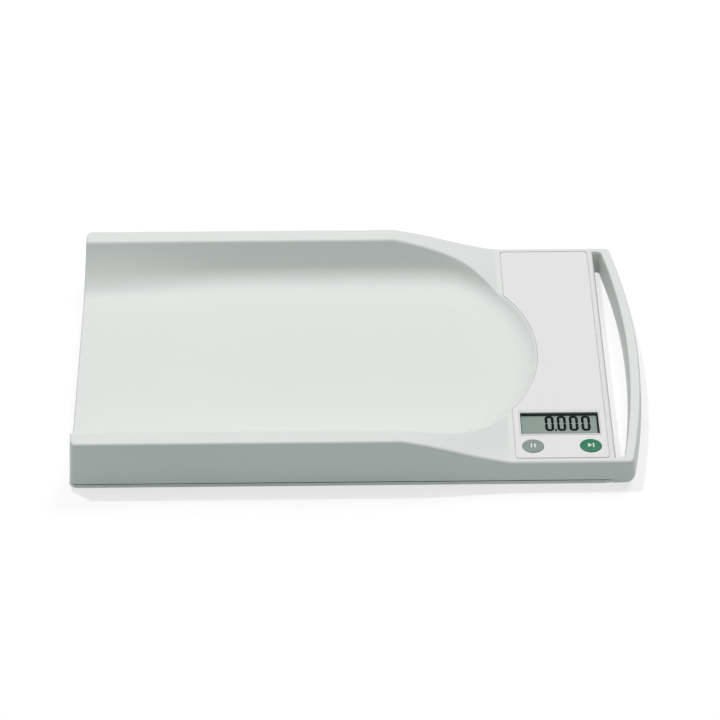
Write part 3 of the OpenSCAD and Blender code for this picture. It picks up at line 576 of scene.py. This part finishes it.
# the open end: the whole section rolls over a rounded lip into the end wall
outline = np.array([(-y, z) for x, y, z in front_sides[0]])
run = np.gradient(outline, axis=0)
outward = np.stack([-run[:, 1], run[:, 0]], 1)
outward /= np.linalg.norm(outward, axis=1)[:, None]
outward[0] = (0, 1)
outward[-WALL_POINTS:] = (1, 0)
rolls = []
for a in quarter_turn(EDGE_POINTS):
    x = OPEN_END + ROLL * (1 - math.sin(a))
    sunk = LIP * (1 - math.cos(a))
    ring = outline - outward * sunk
    top = ring[-WALL_POINTS, 1]
    ring[-WALL_POINTS:, 1] = top + (SEAM + sunk - top) * np.linspace(0, 1, WALL_POINTS)
    rolls.append(at_mouth([(x, -y, z) for y, z in ring], x))
add(rolls[::-1])
first = len(shell_points)
end_corner = rolls[-1][-1]
shell_points.extend(rolls[-1] + [(end_corner[0], 0, end_corner[2])])
shell_faces.append(tuple(range(first, len(shell_points))))
SILL = 6.5  # depth of the end wall's flat sole
sill = [[r[-1], (r[-1][0], 0, r[-1][2])] for r in rolls[::-1]]
add(sill + [[(OPEN_END + SILL, -FOOT, SEAM), (OPEN_END + SILL, 0, SEAM)]])

# the handle: arms and grip from the slot's edge to the bowed outer edge
GRIP, BOWED = (553.0, SLOT_HALF, 16.0), (CORNER_X, HALF, 18.3)  # two bows: X at the ends, half chord, rise
GRIP_TURN, BOWED_TURN = 3.0, 6.0  # radii of the plan corners where the arms meet the bows
ROUNDER, UNDERCUT = 10.0, 6.0  # the grip's outer edge falls this much deeper, and its lower one is this round
SOLE_RISE, SOLE_RUN = 3.0, 25.0  # the handle's underside rises by, over


def along_bow(curve, y):
    """A plan point of a bow and its direction away from the slot."""
    x, chord, rise = curve
    r = (chord * chord + rise * rise) / (2 * rise)
    slope = -y / math.sqrt(r * r - y * y)
    out = math.sqrt(r * r - y * y) - (r - rise)
    return (x + out, y), (1 / math.hypot(1, slope), -slope / math.hypot(1, slope))


def bent(curve, radius, steps=6):
    """The rounded plan corner where an arm turns into a bow, as points with directions away from the slot."""
    corner, normal = along_bow(curve, -curve[1] + 1e-6)
    turn = math.atan2(normal[0], -normal[1])
    centre = (corner[0] - radius * math.tan(turn / 2), corner[1] + radius)
    ways = []
    for f in np.linspace(0, 1, steps):
        a = -math.pi / 2 + turn * f
        ways.append((math.cos(a), math.sin(a)))
    return [((centre[0] + radius * c, centre[1] + radius * s), (c, s)) for c, s in ways]


def handle_edge(curve, radius, lead):
    """Half of the handle's inner or outer edge, from an arm's start to the middle of the bow."""
    turn = bent(curve, radius)
    ys = np.linspace(turn[-1][0][1], 0, 34)[1:]
    return lead + turn + [along_bow(curve, y) for y in ys]


inner_lead = [((SLOT_X, -SLOT_HALF), (-1, -1)), ((SLOT_X + 2.5, -SLOT_HALF), (0, -1))]
outer_lead = [((slot_plan, -HALF), (0, -1)), ((SLOT_X + 6, -HALF), (0, -1))]
inner_edge = handle_edge(GRIP, GRIP_TURN, inner_lead)
outer_edge = handle_edge(BOWED, BOWED_TURN, outer_lead)
handle_rings = []
for k, ((inside, into), (outside, away)) in enumerate(zip(inner_edge, outer_edge)):
    inside, into, outside, away = map(np.array, (inside, into, outside, away))
    sole = SEAM + SOLE_RISE * held((inside[0] - SLOT_X) / SOLE_RUN)
    crisp = held((inside[0] - SLOT_X) / 6)
    soft = SLOT_EDGE + (GRIP_EDGE - SLOT_EDGE) * crisp
    fall = SLOT_DROP + (GRIP_DROP - SLOT_DROP) * crisp
    line = []
    for h in np.linspace(sole, DECK - fall, WALL_POINTS):
        line.append((inside[0] + (slot_lean(h) if k == 0 else 0), inside[1], h))
    for a in quarter_turn(SLOT_POINTS)[-2::-1]:
        x, y = inside + into * soft * (1 - math.sin(a))
        line.append((x, y, DECK - fall * (1 - math.cos(a))))
    outer = []
    drop = EDGE + ROUNDER * max(away[0], 0)
    low = UNDERCUT * max(away[0], 0)
    for a in quarter_turn(EDGE_POINTS):
        x, y = outside - away * EDGE * (1 - math.sin(a))
        outer.append((x, y, DECK - drop * (1 - math.cos(a))))
    for h in np.linspace(DECK - drop, sole + low, WALL_POINTS)[1:]:
        lean = WALL_LEAN * away[0] * (DECK - drop - h) / (DECK - drop - sole - low + 0.01)
        outer.append((outside[0] + lean, outside[1], h))
    for a in quarter_turn(EDGE_POINTS)[1:]:
        x, y = outside + (WALL_LEAN * away[0], 0) - away * low * (1 - math.cos(a))
        outer.append((x, y, sole + low * (1 - math.sin(a))))
    handle_rings.append(line + [splayed(p) for p in outer])
add(handle_rings)


def loop_plate(name, loops, low, high, edge=0.0):
    """A flat plate between two heights from plan outlines, the first outside and the rest holes."""
    work = bmesh.new()
    for loop in loops:
        ring = [work.verts.new(p) for p in metres([(x, y, low) for x, y in loop])]
        for a, b in zip(ring, ring[1:] + ring[:1]):
            work.edges.new((a, b))
    bmesh.ops.triangle_fill(work, use_beauty=True, use_dissolve=False, edges=work.edges[:])
    raised = bmesh.ops.extrude_face_region(work, geom=work.faces[:])["geom"]
    for vertex in raised:
        if isinstance(vertex, bmesh.types.BMVert):
            vertex.co.z += (high - low) * MM
    bmesh.ops.recalc_face_normals(work, faces=work.faces)
    mesh = bpy.data.meshes.new(name)
    work.to_mesh(mesh)
    work.free()
    made = in_scene(name, mesh)
    if edge:
        round_off = {"width": edge * MM, "segments": 2, "limit_method": "ANGLE", "angle_limit": 1.0}
        settled(made, "BEVEL", round_off)
    return made


def rounded(x0, y0, x1, y1, r, steps=8):
    """A rectangle's outline with round corners, from the rear right one and on by the rear left."""
    corners = ((x1 - r, y1 - r, 0), (x0 + r, y1 - r, 90), (x0 + r, y0 + r, 180), (x1 - r, y0 + r, 270))
    turns = [(x, y, math.radians(a + 90 * k / steps)) for x, y, a in corners for k in range(steps + 1)]
    return [(x + r * math.cos(a), y + r * math.sin(a)) for x, y, a in turns]


def grown_box(box, by, r):
    """A box's rounded outline, moved outwards on all sides."""
    return rounded(box[0] - by, box[1] - by, box[2] + by, box[3] + by, r)


FOIL = (443.7, -150.0, 538.0, 150.0)
FOIL_CORNER = 3.5
FOIL_ARC = 126.6  # radius of the foil's concave edge round the scoop


def foil_loop(grow, arc_grow):
    """The foil's outline moved outwards; its concave arc moves by an amount of its own."""
    r = FOIL_ARC - arc_grow
    half_angle = math.acos((FOIL[0] - grow - SCOOP_X) / r)
    arc = [(SCOOP_X + r * math.cos(a), r * math.sin(a)) for a in np.linspace(half_angle, -half_angle, 60)]
    corners = grown_box(FOIL, grow, FOIL_CORNER + grow)
    half = len(corners) // 2
    return corners[:half] + arc + corners[half:]


WINDOW = (451.0, -117.5, 531.0, -88.0)
BEZEL, BEZEL_REAR = 1.5, 4.0  # widths of the display's surround, all round and along its rear
KEYS = {"hold": (461.8, -134.0), "start": (520.4, -134.0)}
KEY_SIZE = (22, 18)


def bezel_loop(grow):
    side, rear = BEZEL + grow, BEZEL_REAR + grow
    return rounded(WINDOW[0] - side, WINDOW[1] - side, WINDOW[2] + side, WINDOW[3] + rear, 1.2)


def key_loop(key, wider, count=96):
    """An oval round a key, wider than the key's own outline."""
    (x, y), length, width = KEYS[key], KEY_SIZE[0] + wider, KEY_SIZE[1] + wider
    angles = np.arange(count) * 2 * math.pi / count
    return [(x + length / 2 * math.cos(a), y + width / 2 * math.sin(a)) for a in angles]


second = len(shell_points)
mirrored = [(x, -y, z) for x, y, z in shell_points]
turned_over = [tuple(second + i for i in reversed(f)) for f in shell_faces]
shell_mesh = skin("top_housing", shell_points + mirrored, shell_faces + turned_over)
work = bmesh.new()
work.from_mesh(shell_mesh)
bmesh.ops.remove_doubles(work, verts=work.verts, dist=2e-5)
bmesh.ops.dissolve_degenerate(work, edges=work.edges, dist=1e-6)
bmesh.ops.recalc_face_normals(work, faces=work.faces)
if sum(f.normal.z * f.calc_area() for f in work.faces) < 0:
    bmesh.ops.reverse_faces(work, faces=work.faces)
work.to_mesh(shell_mesh)
work.free()
top_housing = in_scene("top_housing", shell_mesh)
wall = {"thickness": 2.2 * MM, "offset": -1, "use_even_offset": True, "use_rim": True}
settled(top_housing, "SOLIDIFY", wall)
GROOVE = (11.0, 11.9, 1.6)  # the seam's groove: bottom, top, depth
GROOVE_END, WALL_THERE = 540.0, 156.8  # where the groove ends, and half the housing's width at its height
DEEP = GROOVE[2]
groove_room = rounded(-30, -180, GROOVE_END + 1, 180, 3)
groove_core = rounded(OPEN_END + DEEP, DEEP - WALL_THERE, GROOVE_END, WALL_THERE - DEEP, CORNER - DEEP)
KEY_OPENING = 0.7  # how much wider than its key an opening is
# the cutters end at different heights, so that no two of their faces lie in one plane
recesses = [
    loop_plate("cover_space", [[(-30, -180), (542.6, -180), (542.6, 180), (-30, 180)]], -1, GROOVE[0]),
    loop_plate("seam_groove", [groove_room, groove_core], 9, GROOVE[1]),
    loop_plate("foil_recess", [foil_loop(0.5, 0.1)], DECK - 0.7, DECK + 2),
    loop_plate("foil_groove", [foil_loop(0.55, 0.15), foil_loop(-0.7, -0.45)], DECK - 1.4, DECK + 2.5),
    loop_plate("bezel_recess", [bezel_loop(0.2)], DECK - 1.6, DECK + 3),
    loop_plate("window_opening", [rounded(*WINDOW, 1.0)], DECK - 6, DECK + 4),
    loop_plate("hold_opening", [key_loop("hold", KEY_OPENING)], DECK - 7, DECK + 5),
    loop_plate("start_opening", [key_loop("start", KEY_OPENING)], DECK - 7, DECK + 6),
]
for recess in recesses:
    settled(top_housing, "BOOLEAN", {"operation": "DIFFERENCE", "object": recess, "solver": "MANIFOLD"})
    bpy.data.objects.remove(recess)
dress(top_housing, housing_white, "housing", ["tray_shell"], 40)

# ---- Base cover's ledge ----
# The edge of the base cover that shows under the housing: a narrow moulded ledge with a slight outward
# draft, below the shadow line of the seam.

LEDGE_END = 542.4
ledge_profile = [(3.0, 6.9), (0.0, 6.9), (-0.4, 7.0), (-0.55, 7.3), (0.15, 10.5), (0.28, 10.8), (3.0, 10.8)]
ledge_rings = []
for inset, z in ledge_profile:
    loop = rounded(OPEN_END + inset, inset - FOOT, LEDGE_END, FOOT - inset, CORNER)
    ledge_rings.append([(x, y, z) for x, y in loop])
piece("base_ledge", *strip(ledge_rings + ledge_rings[:1]), base_grain, "housing", "base_grey")

# ---- Deck foil ----
# A thin printed foil, die cut round the display and the keys, lies in a shallow recess of the deck
# and is glued down. Its inner edge follows the scoop.

foil_film = finish("foil_film", (0.850, 0.843, 0.846), 0.3, grain=0.02, grain_size=0.5, mottle=0.006)
foil_holes = [bezel_loop(0.15)] + [key_loop(key, 0.4) for key in KEYS]
foil = loop_plate("deck_foil", [foil_loop(-0.4, -0.2)] + foil_holes, low=37.1, high=37.92, edge=0.12)
dress(foil, foil_film, "housing", ["panel_foil"])

# ---- Display surround, window and seal ----
# A pale moulded surround holds the clear window, and a black foam band under the window frames
# the glass of the display. Along the right and rear the band is drawn wider, as painted shade
# where the window's walls would shadow the glass.

surround_plastic = finish("surround_plastic", (0.74, 0.75, 0.745), 0.35, grain=0.01)
window_loop = rounded(*WINDOW, 0.8)
surround = loop_plate("display_surround", [bezel_loop(0), window_loop], low=36.2, high=38.2, edge=0.35)
dress(surround, surround_plastic, "housing", ["display_bezel"])
window_clear = finish("window_clear", (0.20, 0.23, 0.22), 0.06, mottle=0.002, rough_spread=0.02, Alpha=0.015)
window = loop_plate("display_window_pane", [window_loop], low=36.3, high=37.5, edge=0.1)
dress(window, window_clear, "housing", ["display_window"])
foam_look = {"grain": 0.08, "grain_size": 0.5, "mottle": 0.2, "Specular IOR Level": 0.2}
foam = finish("seal_foam", (0.008, 0.0085, 0.010), 0.9, **foam_look)
# the wider right and rear bands are painted shade: black foam shown where the window's walls would shade the
# glass
SEAL_AND_SHADE_BANDS = (0.7, 0.7, 1.7, 1.5)  # what shows of the foam inside the window: left, front, right, rear
seal_inner = [edge + s * band for edge, s, band in zip(WINDOW, (1, 1, -1, -1), SEAL_AND_SHADE_BANDS)]
seal_loops = [grown_box(WINDOW, 0.6, 0.8), rounded(*seal_inner, 0.5)]
seal = loop_plate("display_seal", seal_loops, low=34.75, high=36.25)
dress(seal, foam, "housing", ["display_gasket"])

# ---- Display ----
# A twisted-nematic glass: two sheets with a rear polariser that gives the dull green-grey ground, and
# dark segments between them. It shows only the scale's zero.

glass_look = {"grain": 0.004, "grain_size": 0.4, "mottle": 0.05, "Coat Weight": 0.3}
lcd_ground = finish("lcd_ground", (0.262, 0.345, 0.308), 0.25, **glass_look)
GLASS = (447, -120.25, 535, -85.25)
glass = loop_plate("lcd_sheets", [rounded(*GLASS, 0.6)], low=32.4, high=34.6, edge=0.3)
dress(glass, lcd_ground, "housing", ["lcd_glass"])
segment_ink = finish("segment_ink", (0.002, 0.0025, 0.006), 0.7, mottle=0.1, **{"Specular IOR Level": 0.1})
DIGIT = (9.3, 20.6, 12.4, 2.9)  # width, height, pitch, stroke
BAR_EXTRA = 1.0  # the bars are this much longer than the gap between strokes, so that they nearly touch
POINT_SHARE = 0.3  # length of the decimal point as a share of a bar


def digits(name, count, right, bottom, level):
    """Seven-segment noughts with a decimal point after the first; six bars each, pointed at both ends."""
    width, height, pitch, stroke = DIGIT
    across, upright = width - stroke, (height - stroke) / 2
    grow = Growth(name, bar=(across + BAR_EXTRA) * MM, stroke=stroke * MM, depth=0.1 * MM)
    size = grow.size
    straight = size["bar"] - size["stroke"]
    block = grow.vector(X=straight, Y=size["stroke"], Z=size["depth"])
    bar = grow.node("GeometryNodeMeshCube", {}, {"Size": block})
    for side in (-0.5, 0.5):
        tip = grow.rod(4, size["stroke"] * 0.5, size["depth"])
        bar = grow.join(bar, grow.moved(tip, Translation=grow.vector(X=straight * side)))
    points, turns, stretches = [], [], []

    def put(x, row, angle=0, share=1):
        points.append((x, bottom + stroke / 2 + row * upright, level))
        turns.append((0, 0, angle))
        stretches.append((share, 1, 1))

    for k in range(count):
        x = right - width / 2 - pitch * (count - 1 - k)
        for row in (0, 2):
            put(x, row)
        for s in (-1, 1):
            for row in (0.5, 1.5):
                put(x + s * across / 2, row, 90, upright / across)
    put(right - pitch * (count - 1) + (pitch - width) / 2, 0, share=POINT_SHARE)
    made = grow.grown(bar, points, segment_ink, name, turn=np.radians(turns), stretch=stretches)
    dress(made, segment_ink, "housing", ["lcd_digits"])


digits("lcd_segments", 4, right=522.6, bottom=-110.6, level=34.64)

# ---- Keys ----
# Two domed oval keys of coloured plastic, one grey and one green, stand through the foil over their
# switches. Each carries a plain moulded sign.

key_look = {"grain": 0.01, "Specular IOR Level": 0.3}
grey_key = finish("key_grey", (0.262, 0.330, 0.300), 0.4, mottle=0.02, **key_look)
green_key = finish("key_green", (0.012, 0.190, 0.085), 0.4, mottle=0.04, **key_look)
KEY_LOOKS = {"hold": (grey_key, "key_grey"), "start": (green_key, "key_green")}
sign_print = finish("sign_print", (0.80, 0.82, 0.81), 0.4, mottle=0.01)
key_skirt = [(9.0, 33.6), (0, 33.6), (0, 37.95)]
key_dome = [(0.25, 38.3), (0.9, 38.6), (2.0, 38.82), (3.6, 38.95), (5.6, 39.0), (8.9, 39.0)]
for key, (plastic, key_slot) in KEY_LOOKS.items():
    rings = []
    for inset, z in key_skirt + key_dome:
        rings.append([(x, y, z) for x, y in key_loop(key, -2 * inset, 72)])
    cap = strip(rings, capped=True)
    piece("key_cap_" + key, *cap, plastic, "key_" + key, key_slot, ["key_" + key], 30)


def upright_bar(x0, x1, half):
    return [(x0, -half), (x1, -half), (x1, half), (x0, half)]


signs = {
    "hold": [upright_bar(-2.6, -1.0, 2.6), upright_bar(1.0, 2.6, 2.6)],
    "start": [[(-3.0, -2.8), (1.2, 0), (-3.0, 2.8)], upright_bar(1.9, 3.3, 2.8)],
}
for key, shapes in signs.items():
    x, y = KEYS[key]
    for number, shape in enumerate(shapes, 1):
        loop = [(x + a, y + b) for a, b in shape]
        sign = loop_plate("sign_%s_%d" % (key, number), [loop], low=38.9, high=39.05)
        dress(sign, sign_print, "key_" + key)

# ---- Studio ----
# A white sweep under a small lamp behind on the left and a broad panel behind on the right. Camera rays
# see the lit floor and the world as white; from below the floor is clear, so that the underside shows.

AMBIENT = 0.24
fill = bpy.data.worlds.new("studio_air")
bpy.context.scene.world = fill
air = emptied(fill)


def seen_directly(wires):
    """1 for camera, glossy and transmission rays."""
    outs = wires.node("ShaderNodeLightPath").socket.node.outputs
    kinds = ("Is Camera Ray", "Is Glossy Ray", "Is Transmission Ray")
    camera_ray, glossy, through = (Wire(wires.tree, outs[kind]) for kind in kinds)
    direct = camera_ray + glossy + through
    return direct.math("MINIMUM", direct, 1.0)


soft_light = air.node("ShaderNodeBackground", {}, {"Color": (0.82, 1.0, 0.945, 1), "Strength": AMBIENT})
white = air.node("ShaderNodeBackground", {}, {"Color": (1, 1, 1, 1), "Strength": 1.0})
mixed = air.node("ShaderNodeMixShader", {}, {0: seen_directly(air), 1: soft_light, 2: white})
air.node("ShaderNodeOutputWorld", {}, {"Surface": mixed})

floor_sheet = bpy.data.materials.new("studio_floor")
under = emptied(floor_sheet)
diffuse = under.node("ShaderNodeBsdfDiffuse", {}, {"Color": (0.72, 0.79, 0.765, 1), "Roughness": 0.0})
shade = under.node("ShaderNodeBsdfDiffuse", {}, {"Color": (0.37, 0.37, 0.37, 1), "Roughness": 0.0})
glow = under.node("ShaderNodeEmission", {}, {"Color": (1.0, 0.985, 0.995, 1), "Strength": 0.71})
lit = under.node("ShaderNodeAddShader", {}, {0: shade, 1: glow})
from_above = under.node("ShaderNodeMixShader", {}, {0: seen_directly(under), 1: diffuse, 2: lit})
back_face = under.node("ShaderNodeNewGeometry", out="Backfacing")
clear = under.node("ShaderNodeBsdfTransparent")
both_sides = under.node("ShaderNodeMixShader", {}, {0: back_face, 1: from_above, 2: clear})
under.node("ShaderNodeOutputMaterial", {}, {"Surface": both_sides})
FLOOR_REACH, FLOOR_Z = 4, -0.0002  # in metres: half its side, and just under the pads
floor_mesh = bpy.data.meshes.new("studio_floor")
floor_plan = [(-1, -1), (1, -1), (1, 1), (-1, 1)]
floor_corners = [(FLOOR_REACH * x, FLOOR_REACH * y, FLOOR_Z) for x, y in floor_plan]
floor_mesh.from_pydata(floor_corners, [], [(0, 1, 2, 3)])
floor_mesh.materials.append(floor_sheet)
studio_floor = in_scene("studio_floor", floor_mesh)

LAMP_COLOUR = (1.0, 0.95, 0.96)


def lamp(name, energy, size, place):
    """A square lamp aimed at the origin; size and place are in metres."""
    light = bpy.data.lights.new(name, "AREA")
    light.energy, light.size, light.color = energy, size, LAMP_COLOUR
    holder = in_scene(name, light)
    holder.location = place
    holder.rotation_euler = (-Vector(place)).to_track_quat("-Z", "Y").to_euler()


lamp("window_lamp", 124.0, 0.2, (-1.3, 0.9, 5.0))
lamp("ceiling_panel", 74.0, 2.0, (1.7, 1.9, 4.4))

CAMERA_PLACE, CAMERA_AHEAD = (-0.03973, -1.85646, 1.96199), (0.01481, 0.69213, -0.72162)
CAMERA_TILT = math.radians(0.384)  # turned about its own axis
view = bpy.data.cameras.new("camera")
view.lens, view.sensor_width = 127.616, 36.0
camera = in_scene("camera", view)
ahead = Vector(CAMERA_AHEAD).normalized()
side = ahead.cross(Vector((0, 0, 1))).normalized()
head = side.cross(ahead)
right_way = side * math.cos(CAMERA_TILT) + head * math.sin(CAMERA_TILT)
up_way = head * math.cos(CAMERA_TILT) - side * math.sin(CAMERA_TILT)
facing = Matrix((right_way, up_way, -ahead)).transposed().to_4x4()
camera.matrix_world = Matrix.Translation(CAMERA_PLACE) @ facing
bpy.context.scene.camera = camera
bpy.context.scene.view_settings.view_transform = "Standard"
